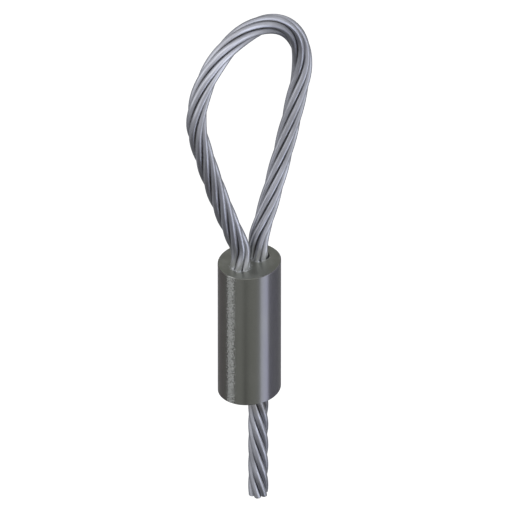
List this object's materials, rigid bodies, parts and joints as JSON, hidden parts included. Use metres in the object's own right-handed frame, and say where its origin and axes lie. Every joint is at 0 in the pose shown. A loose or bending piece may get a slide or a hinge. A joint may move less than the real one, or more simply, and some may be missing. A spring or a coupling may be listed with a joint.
{
  "type": "wire rope eye",
  "caption": "Soft eye of laid wire rope: the loop's two legs run into a plain oval two-bore sleeve, and a short straight tail leaves its lower face.",
  "frame": {"origin": "centre of the sleeve's lower face, the face that the tail leaves", "axes": "+Z along the sleeve towards the crown of the eye, +X in the plane of the eye towards the leg that runs on as the tail, +Y square to the eye"},
  "size_m": [0.0506, 0.0182, 0.1751],
  "materials": {
    "sleeve_steel": "drawn, dull grey",
    "strand_steel": "drawn, satin"
  },
  "bodies": {
    "root": {"sleeve": "sleeve_steel", "core_strand": "strand_steel", "strand_1": "strand_steel", "strand_2": "strand_steel", "strand_3": "strand_steel", "strand_4": "strand_steel", "strand_5": "strand_steel", "strand_6": "strand_steel"}
  },
  "joints": []
}
